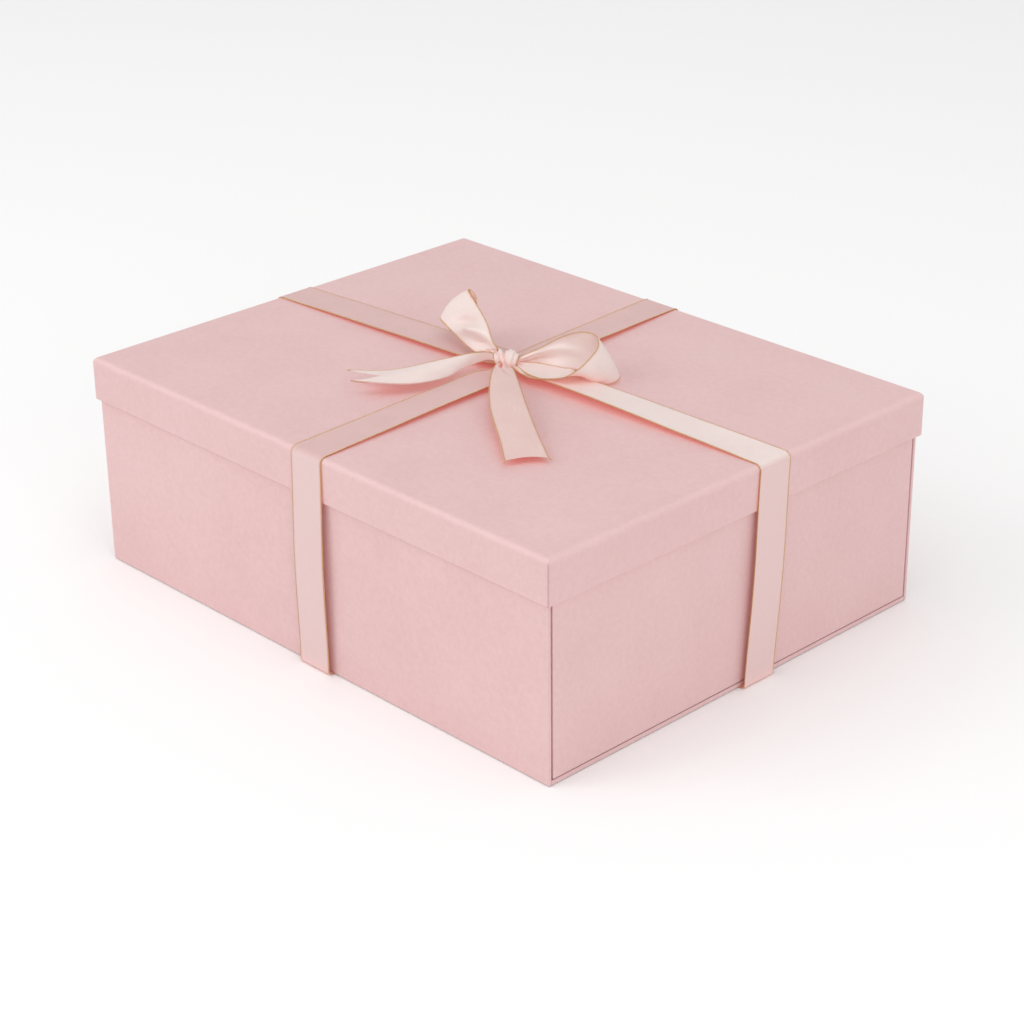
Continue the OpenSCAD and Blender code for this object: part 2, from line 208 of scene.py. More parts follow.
# satin woven face: warp floats run along the ribbon, the weft ties them in steps
def makeSatinWeave():
    group, given, out = newGroup(
        "satinWeave",
        [("Vector", "Vector", (0, 0, 0)), ("Threads", "Float", 110.0), ("Picks", "Float", 70.0)],
        [("Tone", "Float"), ("Height", "Float"), ("Selvedge", "Float")])
    place = addNode(group, "SeparateXYZ", {"Vector": given["Vector"]})
    across = maths(group, "MULTIPLY", place.outputs["X"], given["Threads"])
    along = maths(group, "MULTIPLY", place.outputs["Y"], given["Picks"])
    warp = maths(group, "ABSOLUTE", maths(group, "SINE", maths(group, "MULTIPLY", across, math.pi)))
    step = maths(group, "ADD", along, maths(group, "MULTIPLY", maths(group, "FLOOR", across), 0.4))
    tie = maths(group, "PINGPONG", step, 0.5)
    stretched = addNode(group, "CombineXYZ", {"X": across, "Y": maths(group, "MULTIPLY", along, 0.06)})
    slub = addNode(group, "TexNoise", {"Vector": stretched.outputs[0], "Scale": 0.7, "Detail": 3.0})
    height = maths(group, "ADD", maths(group, "MULTIPLY", warp, 0.5), maths(group, "MULTIPLY", tie, 0.25))
    group.links.new(maths(group, "ADD", height, maths(group, "MULTIPLY", slub.outputs["Fac"], 0.6)),
                    out["Height"])
    group.links.new(slub.outputs["Fac"], out["Tone"])
    fromEdge = maths(group, "SUBTRACT", 0.5,
                     maths(group, "ABSOLUTE", maths(group, "SUBTRACT", place.outputs["X"], 0.5)))
    group.links.new(spread(group, fromEdge, 0.0, 0.06, 1.0, 0.0), out["Selvedge"])
    return group


# painted warm glow: an emission standing in for the warm light that comes through the satin, strongest
# where ribbon shades the surface closely
def makePaintedWarmGlow():
    group, given, out = newGroup(
        "paintedWarmGlow", [("Colour", "Color", (0.16, 0.035, 0.026, 1)), ("Reach", "Float", 0.012)],
        [("Glow", "Color")])
    openness = addNode(group, "AmbientOcclusion", {"Distance": given["Reach"]}, samples=8)
    shaded = spread(group, openness.outputs["AO"], 0.92, 0.3)
    paintedGlow = mixColour(group, shaded, (0, 0, 0, 1), given["Colour"])
    group.links.new(paintedGlow, out["Glow"])
    return group


paperGrain = makePaperGrain()
paintedWarmGlow = makePaintedWarmGlow()
arris = makeArris()
satinWeave = makeSatinWeave()


def startMaterial(name, roughness, **constants):
    material = bpy.data.materials.new(name)
    material.use_nodes = True
    tree = material.node_tree
    shader = tree.nodes["Principled BSDF"]
    shader.inputs["Roughness"].default_value = roughness
    for label, value in constants.items():
        shader.inputs[label.replace("_", " ")].default_value = value
    return material, tree, shader


def useGroup(tree, group, **sockets):
    node = addNode(tree, "Group", node_tree=group)
    for label, value in sockets.items():
        feed(tree, node.inputs[label.replace("_", " ")], value)
    return node.outputs


def bump(tree, shader, height, strength, depth):
    node = addNode(tree, "Bump", {"Height": height, "Strength": strength, "Distance": depth})
    tree.links.new(node.outputs["Normal"], shader.inputs["Normal"])


def objectPlace(tree):
    return addNode(tree, "TexCoord").outputs["Object"]


lidPaperLook = {"shade": (0.715, 0.468, 0.463, 1), "light": (0.77, 0.53, 0.523, 1),
                "edge": (0.9, 0.67, 0.65, 1), "paintedCornerShade": (0.46, 0.26, 0.27, 1),
                "roughness": 0.52, "halfX": lidHigh.x, "halfY": lidHigh.y, "top": lidTop,
                "reach": 0.0032, "paintedCornerShadeShare": 0.55, "paintedGlow": 1.0}
basePaperLook = {"shade": (0.72, 0.47, 0.465, 1), "light": (0.775, 0.532, 0.526, 1),
                 "edge": (0.88, 0.62, 0.6, 1), "paintedCornerShade": (0.62, 0.37, 0.37, 1),
                 "roughness": 0.5, "halfX": baseHigh.x, "halfY": baseHigh.y, "top": baseHigh.z,
                 "reach": 0.0012, "paintedCornerShadeShare": 0.2, "paintedGlow": 0.0}


def makePaper(name, look):
    material, tree, shader = startMaterial(name, look["roughness"], Sheen_Weight=0.08,
                                           Sheen_Roughness=0.4, Specular_IOR_Level=0.35,
                                           Emission_Strength=look["paintedGlow"])
    place = objectPlace(tree)
    grain = useGroup(tree, paperGrain, Vector=place)
    edges = useGroup(tree, arris, Vector=place, Half_X=look["halfX"], Half_Y=look["halfY"],
                     Top=look["top"], Reach=look["reach"])
    tone = spread(tree, grain["Tone"], 0.36, 0.64)
    colour = mixColour(tree, tone, look["shade"], look["light"])
    # painted highlight: a lighter band along the top edges, where the rounded edge catches the light
    paintedEdgeHighlight = maths(tree, "MULTIPLY", edges["Upper"], 0.35)
    colour = mixColour(tree, paintedEdgeHighlight, colour, look["edge"])
    # painted shade: a darker strip along the upright corners
    paintedCornerShade = maths(tree, "MULTIPLY", spread(tree, edges["Upright"], 0.72, 0.86), look["paintedCornerShadeShare"])
    colour = mixColour(tree, paintedCornerShade, colour, look["paintedCornerShade"])
    tree.links.new(colour, shader.inputs["Base Color"])
    rough = spread(tree, grain["Fleck"], 0.0, 1.0, look["roughness"], look["roughness"] - 0.14)
    tree.links.new(rough, shader.inputs["Roughness"])
    bump(tree, shader, grain["Height"], 0.25, 0.0002)
    # painted warm glow: the lid paper emits a warm colour where ribbons shade it closely
    if look["paintedGlow"]:
        tree.links.new(useGroup(tree, paintedWarmGlow)["Glow"], shader.inputs["Emission Color"])
    return material


boardLook = {"dark": (0.24, 0.215, 0.19, 1), "pale": (0.42, 0.39, 0.35, 1),
             "speck": (0.1, 0.085, 0.07, 1)}


def makeBoard(name, look):
    material, tree, shader = startMaterial(name, 0.88)
    place = objectPlace(tree)
    grain = useGroup(tree, paperGrain, Vector=place, Grain=900.0, Mottle=60.0)
    specks = addNode(tree, "TexVoronoi", {"Vector": place, "Scale": 260.0, "Randomness": 1.0})
    speck = spread(tree, specks.outputs["Distance"], 0.12, 0.2, 1.0, 0.0)
    colour = mixColour(tree, spread(tree, grain["Tone"], 0.36, 0.64), look["dark"], look["pale"])
    colour = mixColour(tree, maths(tree, "MULTIPLY", speck, 0.5), colour, look["speck"])
    tree.links.new(colour, shader.inputs["Base Color"])
    bump(tree, shader, grain["Height"], 0.5, 0.0004)
    return material


liningLook = {"shade": (0.78, 0.75, 0.71, 1), "light": (0.9, 0.88, 0.85, 1),
              "fibre": (0.6, 0.55, 0.5, 1)}


def makeLining(name, look, roughness):
    material, tree, shader = startMaterial(name, roughness)
    place = objectPlace(tree)
    grain = useGroup(tree, paperGrain, Vector=place, Grain=1100.0, Mottle=35.0)
    stretched = addNode(tree, "Mapping", {"Vector": place, "Scale": (1.0, 7.0, 4.0)})
    fibres = addNode(tree, "TexNoise", {"Vector": stretched.outputs[0], "Scale": 130.0, "Detail": 5.0})
    fibre = spread(tree, fibres.outputs["Fac"], 0.6, 0.72)
    colour = mixColour(tree, spread(tree, grain["Tone"], 0.36, 0.64), look["shade"], look["light"])
    colour = mixColour(tree, maths(tree, "MULTIPLY", fibre, 0.35), colour, look["fibre"])
    tree.links.new(colour, shader.inputs["Base Color"])
    bump(tree, shader, grain["Height"], 0.35, 0.0003)
    return material


tabLook = {"shade": (0.74, 0.47, 0.455, 1), "light": (0.8, 0.52, 0.505, 1),
           "fibre": (0.86, 0.62, 0.6, 1)}
glueLook = {"shade": (0.72, 0.68, 0.6, 1), "light": (0.84, 0.81, 0.75, 1),
            "fibre": (0.5, 0.45, 0.38, 1)}

# copies of one ribbon colour that differ in brightness, given piece by piece: painted sheen on the
# lighter ones and painted shade on the darker ones, beside real differences in gloss; satinWarm is a
# lighter, warmer copy for the front tail
satinSheenBright = {"shade": (0.82, 0.665, 0.625, 1), "light": (0.89, 0.745, 0.71, 1),
             "paintedUprightLight": None, "selvedge": (0.8, 0.58, 0.48, 1), "roughness": 0.33, "sheen": 0.2,
             "gloss": 0.7, "paintedGlow": (0.13, 0.04, 0.032, 1)}
satinSheenDim = {"shade": (0.675, 0.445, 0.425, 1), "light": (0.735, 0.49, 0.47, 1),
             "paintedUprightLight": (0.76, 0.56, 0.545, 1), "selvedge": (0.68, 0.47, 0.4, 1), "roughness": 0.48,
             "sheen": 0.1, "gloss": 0.4, "paintedGlow": (0.12, 0.02, 0.012, 1)}
satinTurned = {**satinSheenBright, "paintedUprightLight": (0.77, 0.55, 0.535, 1)}
satinWarm = {**satinSheenDim, "shade": (0.73, 0.5, 0.46, 1), "light": (0.79, 0.57, 0.54, 1), "paintedUprightLight": None}


def makeSatin(name, look):
    material, tree, shader = startMaterial(name, look["roughness"], Sheen_Weight=look["sheen"],
                                           Sheen_Roughness=0.3, Specular_IOR_Level=look["gloss"],
                                           Emission_Strength=1.0)
    shader.inputs["Sheen Tint"].default_value = (1.0, 0.9, 0.86, 1)
    ribbonPlace = addNode(tree, "UVMap", uv_map="ribbon").outputs["UV"]
    weave = useGroup(tree, satinWeave, Vector=ribbonPlace)
    broad = addNode(tree, "TexNoise", {"Vector": objectPlace(tree), "Scale": 60.0, "Detail": 2.0})
    tone = maths(tree, "ADD", maths(tree, "MULTIPLY", weave["Tone"], 0.6),
                 maths(tree, "MULTIPLY", broad.outputs["Fac"], 0.4))
    colour = mixColour(tree, spread(tree, tone, 0.35, 0.65), look["shade"], look["light"])
    # painted light: upright faces such as the straps get their own lighter or darker colour, since light
    # falls on them differently from the flat top
    if look["paintedUprightLight"]:
        facing = addNode(tree, "SeparateXYZ", {"Vector": addNode(tree, "NewGeometry").outputs["Normal"]})
        upward = maths(tree, "ABSOLUTE", facing.outputs["Z"])
        colour = mixColour(tree, spread(tree, upward, 0.25, 0.85), look["paintedUprightLight"], colour)
    colour = mixColour(tree, maths(tree, "MULTIPLY", weave["Selvedge"], 0.7), colour, look["selvedge"])
    tree.links.new(colour, shader.inputs["Base Color"])
    rough = spread(tree, weave["Tone"], 0.3, 0.7, look["roughness"] + 0.08, look["roughness"] - 0.06)
    tree.links.new(rough, shader.inputs["Roughness"])
    bump(tree, shader, weave["Height"], 0.3, 0.00012)
    # painted warm glow: the satin emits a warm colour where it is closely shaded
    paintedGlow = useGroup(tree, paintedWarmGlow, Colour=look["paintedGlow"], Reach=0.011)
    tree.links.new(paintedGlow["Glow"], shader.inputs["Emission Color"])
    return material


yarnLook = {"deep": (0.45, 0.25, 0.11, 1), "bright": (1.0, 0.69, 0.37, 1), "roughness": 0.24}


def makeYarnMetal(name, look):
    material, tree, shader = startMaterial(name, look["roughness"], Metallic=0.75)
    yarnPlace = addNode(tree, "UVMap", uv_map="yarn").outputs["UV"]
    wraps = addNode(tree, "TexNoise", {"Vector": yarnPlace, "Scale": 9.0, "Detail": 2.0})
    tone = spread(tree, wraps.outputs["Fac"], 0.4, 0.6)
    tree.links.new(mixColour(tree, tone, look["deep"], look["bright"]), shader.inputs["Base Color"])
    rough = spread(tree, wraps.outputs["Fac"], 0.3, 0.7, look["roughness"] + 0.15, look["roughness"])
    tree.links.new(rough, shader.inputs["Roughness"])
    bump(tree, shader, wraps.outputs["Fac"], 0.3, 0.00008)
    return material


lidPaperPink = makePaper("lidPaperPink", lidPaperLook)
basePaperPink = makePaper("basePaperPink", basePaperLook)
greyBoard = makeBoard("greyBoard", boardLook)
liningPaper = makeLining("liningPaper", liningLook, 0.8)
tabCard = makeLining("tabCard", tabLook, 0.7)
glueFilm = makeLining("glueFilm", glueLook, 0.3)
shinySatin = makeSatin("shinySatin", satinSheenBright)
dullSatin = makeSatin("dullSatin", satinSheenDim)
turnedSatin = makeSatin("turnedSatin", satinTurned)
warmSatin = makeSatin("warmSatin", satinWarm)
goldYarn = makeYarnMetal("goldYarn", yarnLook)
print("materials made")


def startBlock(name, low, high):
    bpy.ops.object.select_all(action="DESELECT")
    bpy.ops.mesh.primitive_cube_add(size=1, location=(low + high) / 2)
    piece = bpy.context.object
    piece.name = name
    piece.scale = high - low
    bpy.ops.object.transform_apply(location=True, rotation=True, scale=True)
    return piece


# picks faces in edit mode by a test on their centre and normal
def pickFaces(piece, test):
    bpy.ops.object.mode_set(mode="EDIT")
    bpy.ops.mesh.select_mode(type="FACE")
    bpy.ops.mesh.select_all(action="DESELECT")
    bpy.ops.object.mode_set(mode="OBJECT")
    for face in piece.data.polygons:
        face.select = bool(test(face.center, face.normal))
    bpy.ops.object.mode_set(mode="EDIT")


# picks edges in edit mode by a test on their two ends
def pickEdges(piece, test):
    bpy.ops.object.mode_set(mode="EDIT")
    bpy.ops.mesh.select_mode(type="EDGE")
    bpy.ops.mesh.select_all(action="DESELECT")
    bpy.ops.object.mode_set(mode="OBJECT")
    points = piece.data.vertices
    for edge in piece.data.edges:
        edge.select = bool(test(points[edge.vertices[0]].co, points[edge.vertices[1]].co))
    bpy.ops.object.mode_set(mode="EDIT")


def addModifier(piece, kind, **settings):
    modifier = piece.modifiers.new(kind.lower(), kind)
    for label, value in settings.items():
        setattr(modifier, label, value)


def applyModifiers(piece):
    bpy.ops.object.select_all(action="DESELECT")
    piece.select_set(True)
    bpy.context.view_layer.objects.active = piece
    for modifier in list(piece.modifiers):
        bpy.ops.object.modifier_apply(modifier=modifier.name)


# a paper's own thickness, grown inwards, with flat faces kept flat beside the rounded edges
def finishPaper(piece, material, body, slot, *nodes):
    bpy.ops.object.mode_set(mode="OBJECT")
    addModifier(piece, "SOLIDIFY", thickness=paperT, offset=-1)
    applyModifiers(piece)
    bpy.ops.object.shade_smooth_by_angle(angle=math.radians(50))
    addModifier(piece, "WEIGHTED_NORMAL", keep_sharp=True, weight=100)
    applyModifiers(piece)
    piece.data.materials.append(material)
    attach(piece, body)
    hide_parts(*nodes)


lidPaperShape = {"edgeRound": 2.5 * mm, "cornerRound": 1.0 * mm, "rimRound": 0.3 * mm, "roundSteps": 6,
                 "tiny": 0.01 * mm}


def addLidPaper(look):
    piece = startBlock("lidPaper", lidLow, lidHigh)
    pickFaces(piece, lambda middle, normal: normal.z < -0.5)
    bpy.ops.mesh.inset(thickness=rimT)
    bpy.ops.mesh.extrude_region_move(
        TRANSFORM_OT_translate={"value": (0, 0, ceilingHigh.z - lidLow.z)})
    bpy.ops.mesh.delete(type="FACE")
    tiny = look["tiny"]

    def atTop(p):
        return p.z > lidTop - tiny

    def corner(p):
        fromX, fromY = lidHigh.x - abs(p.x), lidHigh.y - abs(p.y)
        return abs(fromX - fromY) < tiny and fromX < look["edgeRound"] + tiny

    def outside(p):
        return (p.z < lidLow.z + tiny and
                (abs(p.x) > lidHigh.x - rimT + tiny or abs(p.y) > lidHigh.y - rimT + tiny))

    pickEdges(piece, lambda a, b: atTop(a) and atTop(b))
    bpy.ops.mesh.bevel(offset=look["edgeRound"], segments=look["roundSteps"], affect="EDGES")
    pickEdges(piece, lambda a, b: corner(a) and corner(b) and abs(a.z - b.z) > tiny)
    bpy.ops.mesh.bevel(offset=look["cornerRound"], segments=2, affect="EDGES")
    pickEdges(piece, lambda a, b: outside(a) and outside(b))
    bpy.ops.mesh.bevel(offset=look["rimRound"], segments=2, affect="EDGES")
    finishPaper(piece, lidPaperPink, "lid", "lid_paper", "lid_wrap")


addLidPaper(lidPaperShape)


basePaperShape = {"edgeRound": 0.45 * mm, "roundSteps": 3, "tiny": 0.01 * mm}


# cuts a window in the paper's face that looks along one axis, for the lining or a board
def cutWindow(piece, axis, way, low, high):
    for side in (0, 1, 2):
        if side == axis:
            continue
        for place in (low[side], high[side]):
            point, normal = [0, 0, 0], [0, 0, 0]
            point[side], normal[side] = place, 1
            bpy.ops.object.mode_set(mode="EDIT")
            bpy.ops.mesh.select_all(action="SELECT")
            bpy.ops.mesh.bisect(plane_co=point, plane_no=normal)
    across = [side for side in (0, 1, 2) if side != axis]
    pickFaces(piece, lambda middle, normal: normal[axis] * way > 0.9
              and all(low[side] < middle[side] < high[side] for side in across))
    bpy.ops.mesh.delete(type="FACE")


# paper round one board, with rounded edges and a window inside its turned-in margins
def wrapBoard(name, low, high, look, windows):
    piece = startBlock(name, low, high)
    bpy.ops.object.mode_set(mode="EDIT")
    bpy.ops.mesh.select_all(action="SELECT")
    bpy.ops.mesh.bevel(offset=look["edgeRound"], segments=look["roundSteps"], affect="EDGES")
    for axis, way, windowLow, windowHigh in windows:
        cutWindow(piece, axis, way, windowLow, windowHigh)
    bpy.ops.object.mode_set(mode="OBJECT")
    return piece


def joinPieces(name, pieces):
    bpy.ops.object.select_all(action="DESELECT")
    for piece in pieces:
        piece.select_set(True)
    bpy.context.view_layer.objects.active = pieces[0]
    bpy.ops.object.join()
    pieces[0].name = name
    return pieces[0]


def addBasePaper(look):
    turnInTop = liningHigh.z
    walls = []
    for way in (1, -1):
        outer, inner = -way * baseHigh.y, -way * (baseHigh.y - wallT)
        low = Vector((baseLow.x, min(outer, inner), baseLow.z))
        high = Vector((baseHigh.x, max(outer, inner), baseHigh.z))
        windowLow = Vector((liningLow.x, low.y, boardLow.z))
        windowHigh = Vector((liningHigh.x, high.y, turnInTop))
        walls.append(wrapBoard("wallPaper", low, high, look, [(1, way, windowLow, windowHigh)]))
    floorLow = Vector((baseLow.x, -(baseHigh.y - wallT), baseLow.z))
    floorHigh = Vector((baseHigh.x, baseHigh.y - wallT, boardHigh.z + paperT))
    margin = look["edgeRound"]
    topWindow = (2, 1, Vector((liningLow.x, floorLow.y + margin, 0)),
                 Vector((liningHigh.x, floorHigh.y - margin, 0)))
    walls.append(wrapBoard("floorPaper", floorLow, floorHigh, look, [topWindow]))
    piece = joinPieces("basePaper", walls)
    finishPaper(piece, basePaperPink, "base", "base_paper", "base_wrap")


def addEndPaper(look, side, way):
    low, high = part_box(side + "_end_wrap")
    windowLow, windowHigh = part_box(side + "_end_lining")
    piece = wrapBoard(side + "EndPaper", low, high, look, [(0, -way, windowLow, windowHigh)])
    finishPaper(piece, basePaperPink, "base", "base_paper", side + "_end_wrap")


addBasePaper(basePaperShape)
addEndPaper(basePaperShape, "left", -1)
addEndPaper(basePaperShape, "right", 1)
print("papers folded")


# tuckGap counts ribbon thicknesses; cutFrom is where along a tail its shaped end starts to pull
ribbon = {"width": 20 * mm, "thickness": 0.28 * mm, "columns": 36, "pleats": 2.5, "roundOff": 0.75,
          "tuckGap": 3, "cutFrom": 0.55}
edging = {"pitch": 1.9 * mm, "plyRadius": 0.17 * mm, "twistRadius": 0.2 * mm, "stepsPerTurn": 8,
          "sides": 5, "proud": 0.1 * mm}


# a smooth line through chosen points, its knots spaced by the square root of their distances
def smoothLine(points, count):
    points = np.array(points, float)
    flat = points.reshape(len(points), -1)
    gaps = np.sqrt(np.linalg.norm(np.diff(flat, axis=0), axis=1))
    knots = np.r_[0, np.cumsum(gaps)]
    slopes = np.zeros_like(flat)
    slopes[1:-1] = (flat[2:] - flat[:-2]) / (knots[2:] - knots[:-2])[:, None]
    slopes[0] = (flat[1] - flat[0]) / gaps[0]
    slopes[-1] = (flat[-1] - flat[-2]) / gaps[-1]
    where = np.linspace(0, knots[-1], count)
    i = np.clip(np.searchsorted(knots, where, "right") - 1, 0, len(knots) - 2)
    gap = (knots[i + 1] - knots[i])[:, None]
    t = (where[:, None] - knots[i][:, None]) / gap
    line = ((2 * t ** 3 - 3 * t ** 2 + 1) * flat[i] + (t ** 3 - 2 * t ** 2 + t) * gap * slopes[i]
            + (3 * t ** 2 - 2 * t ** 3) * flat[i + 1] + (t ** 3 - t ** 2) * gap * slopes[i + 1])
    return line.reshape((count,) + points.shape[1:])


def lengthsAlong(line):
    return np.r_[0, np.cumsum(np.linalg.norm(np.diff(line, axis=0), axis=1))]


def unitRows(rows):
    return rows / np.maximum(np.linalg.norm(rows, axis=-1, keepdims=True), 1e-9)


def smoothStep(value, low, high):
    t = np.clip((value - low) / (high - low), 0, 1)
    return t * t * (3 - 2 * t)


# the ribbon's surface between its two edges. Where they come closer than its width it gathers
# into pleats near the knot, and elsewhere one edge tucks under by what is spare. The belly
# carries its middle aside, and folds are soft swells of the cloth
def ribbonSurface(rows, look=None, endAt=None):
    look = look or {}
    left, right, belly = rows[:, 0], rows[:, 1], rows[:, 2]
    t = np.linspace(0, 1, ribbon["columns"] + 1)
    s = np.linspace(0, 1, len(rows))
    span = right - left
    chord = np.linalg.norm(span, axis=1)
    along = np.gradient((left + right) / 2, axis=0)
    normal = unitRows(np.cross(along, span))
    gathered = np.zeros(len(s))
    for place, reach in look.get("knots", ((0, 1),)):
        gathered = np.maximum(gathered, 1 - smoothStep(np.abs(s - place), reach * 0.35, reach))
    tuck = np.clip(1 - chord / ribbon["width"], 0, look.get("tuck", 0)) * (1 - gathered)
    spare = np.clip(ribbon["width"] * (1 - tuck) / np.maximum(chord, 1e-6) - 1, 0, 4)
    pleats, phase = look.get("pleats", ribbon["pleats"]), look.get("phase", 0)
    depth = chord / (math.pi * pleats) * np.sqrt(spare) * ribbon["roundOff"]
    depth = depth * np.maximum(gathered, look.get("slack", 0.12))
    wave = (np.sin(2 * math.pi * pleats * t + phase) * 0.8
            + np.sin(2 * math.pi * pleats * 1.7 * t + 2 * phase + 1) * 0.3)
    lift = depth[:, None] * wave[None, :]
    for atS, atT, sizeS, sizeT, slant, height in look.get("folds", ()):
        offT = (t[None, :] - atT) - slant * (s[:, None] - atS)
        lift = lift + height * mm * np.exp(-((s[:, None] - atS) / sizeS) ** 2 - (offT / sizeT) ** 2)
    turn = (1 - tuck)[:, None]
    over = np.maximum(t[None, :] - turn, 0)
    place = (np.minimum(t[None, :], turn) - over) / turn
    under = smoothStep(over, 0, 0.04)
    lift = lift * (1 - under) - under * ribbon["thickness"] * ribbon["tuckGap"]
    bow = 4 * place * (1 - place)
    points = (left[:, None] + span[:, None] * place[:, :, None] + normal[:, None] * lift[:, :, None]
              + belly[:, None] * bow[:, :, None])
    if endAt is not None:
        points = cutEnd(points, endAt(t))
    return points


# pulls the last stretch of each column back to its share of the length, for a shaped cut end
def cutEnd(points, ends):
    count = len(points)
    start = ribbon["cutFrom"] * (count - 1)
    cut = points.copy()
    for column, end in enumerate(ends):
        rows = np.arange(count, dtype=float)
        late = rows > start
        rows[late] = start + (rows[late] - start) * (end * (count - 1) - start) / (count - 1 - start)
        below = np.clip(rows.astype(int), 0, count - 2)
        part = (rows - below)[:, None]
        cut[:, column] = points[below, column] * (1 - part) + points[below + 1, column] * part
    return cut


def gridMesh(name, surfaces):
    points, faces, places = [], [], []
    for surface in surfaces:
        first = len(points)
        rows, columns = surface.shape[:2]
        along = lengthsAlong(surface[:, columns // 2]) / ribbon["width"]
        points += [tuple(p) for p in surface.reshape(-1, 3)]
        for i in range(rows - 1):
            for k in range(columns - 1):
                a = first + i * columns + k
                faces.append((a, a + 1, a + columns + 1, a + columns))
        places += [(k / (columns - 1), along[i]) for i in range(rows) for k in range(columns)]
    mesh = bpy.data.meshes.new(name)
    mesh.from_pydata(points, [], faces)
    uvMap = mesh.uv_layers.new(name="ribbon")
    for loop in mesh.loops:
        uvMap.data[loop.index].uv = places[loop.vertex_index]
    mesh.validate()
    return mesh


def addPiece(name, mesh, material):
    piece = bpy.data.objects.new(name, mesh)
    bpy.context.scene.collection.objects.link(piece)
    mesh.materials.append(material)
    for face in mesh.polygons:
        face.use_smooth = True
    return piece


# one stretch of satin, as a thin sheet with its gold edging beside it
def addRibbon(name, surfaces, body, nodes, flatLength, finish, pressed=1.0, loose=0):
    piece = addPiece(name, gridMesh(name, surfaces), finish)
    addModifier(piece, "SOLIDIFY", thickness=ribbon["thickness"] * pressed, offset=0)
    applyModifiers(piece)
    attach(piece, body)
    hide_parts(*nodes)
    lines = []
    for surface in surfaces:
        for edge, inner in ((0, 1), (-1, -2)):
            out = unitRows(surface[:, edge] - surface[:, inner])
            line = surface[:, edge] + out * edging["proud"]
            if loose:
                ahead = unitRows(line[-1] - line[-3]) * loose
                line = np.concatenate([line, [line[-1] + ahead * 0.5 + out[-1] * loose * 0.15,
                                              line[-1] + ahead * 0.9 + out[-1] * loose * 0.6]])
            lines.append(line)
    yarn = addYarn(name + "Edging", lines, pressed)
    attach(yarn, body)
    print(name, "laid, cut length", round(flatLength / mm), "mm")


# two plies of metal thread wound round each other along each line
def addYarn(name, lines, pressed=1.0):
    points, faces, places = [], [], []
    step = edging["pitch"] / edging["stepsPerTurn"]
    sides = edging["sides"]
    turns = np.linspace(0, 2 * math.pi, sides, endpoint=False)
    for line in lines:
        run = lengthsAlong(line)
        count = max(4, int(run[-1] / step))
        at = np.linspace(0, run[-1], count)
        centre = np.stack([np.interp(at, run, line[:, k]) for k in range(3)], axis=1)
        tangent = unitRows(np.gradient(centre, axis=0))
        side, up = carryFrame(tangent)
        for ply in (0, math.pi):
            angle = 2 * math.pi * at / edging["pitch"] + ply
            core = centre + (side * np.cos(angle)[:, None] + up * np.sin(angle)[:, None]
                             ) * edging["twistRadius"] * pressed
            radius = edging["plyRadius"] * pressed
            first = len(points)
            ring = (side[:, None] * np.cos(turns)[None, :, None]
                    + up[:, None] * np.sin(turns)[None, :, None]) * radius
            points += [tuple(p) for p in (core[:, None] + ring).reshape(-1, 3)]
            for i in range(count - 1):
                for k in range(sides):
                    a, b = first + i * sides + k, first + i * sides + (k + 1) % sides
                    faces.append((a, b, b + sides, a + sides))
            faces.append(tuple(first + k for k in reversed(range(sides))))
            faces.append(tuple(first + (count - 1) * sides + k for k in range(sides)))
            places += [(k / sides, reached / edging["pitch"]) for reached in at for k in range(sides)]
    mesh = bpy.data.meshes.new(name)
    mesh.from_pydata(points, [], faces)
    uvMap = mesh.uv_layers.new(name="yarn")
    for loop in mesh.loops:
        uvMap.data[loop.index].uv = places[loop.vertex_index]
    return addPiece(name, mesh, goldYarn)


# two directions across a line that turn with it and never spin
def carryFrame(tangent):
    start = np.array((0.0, 0.0, 1.0)) if abs(tangent[0][2]) < 0.9 else np.array((1.0, 0.0, 0.0))
    side = [np.cross(tangent[0], start)]
    side[0] /= np.linalg.norm(side[0])
    for k in range(1, len(tangent)):
        moved = side[-1] - tangent[k] * np.dot(side[-1], tangent[k])
        side.append(moved / np.linalg.norm(moved))
    side = np.array(side)
    return side, np.cross(tangent, side)


armRibbons = {
    # each runs from the knot over the lid's edge and down its side, seen with that side turned to +X
    "right": {"turn": 0, "crosses": 17, "lean": -7, "lift": 2.2, "tilts": (3.6, 0.0), "start": 5,
              "aim": (1, 10), "pinch": 0.5, "flare": 20, "belly": 0.9, "finish": turnedSatin},
    "left": {"turn": 180, "crosses": -3, "lean": 0, "lift": 2.8, "tilts": (0.0, 0.0), "start": 5,
             "aim": (1, 10), "pinch": 0.55, "flare": 16, "belly": 0.9, "finish": dullSatin},
    "front": {"turn": -90, "crosses": 5, "lean": 0, "lift": 0.8, "tilts": (0.0, 1.8), "start": 4,
              "aim": (1, 4), "pinch": 0.7, "flare": 12, "belly": 1.0, "finish": dullSatin},
    "back": {"turn": 90, "crosses": 9, "lean": -6, "lift": 1.5, "tilts": (1.6, 0.0), "start": 5,
             "aim": (1, 4), "pinch": 0.5, "flare": 18, "belly": 0.9, "finish": dullSatin},
}
armShape = {"offLid": 0.4 * mm, "offRim": 0.6 * mm, "bendRound": 3.3 * mm, "footOut": 1.0 * mm,
            "footHigh": 2.0 * mm, "footRound": 2.2 * mm, "footTurn": 30, "sag": 0.18 * mm,
            "ripple": 0.12 * mm, "rippleLength": 17 * mm, "easing": 1.3}


def turnPlan(points, degrees):
    angle = math.radians(degrees)
    c, s = math.cos(angle), math.sin(angle)
    turned = points.copy()
    turned[..., 0] = points[..., 0] * c - points[..., 1] * s
    turned[..., 1] = points[..., 0] * s + points[..., 1] * c
    return turned


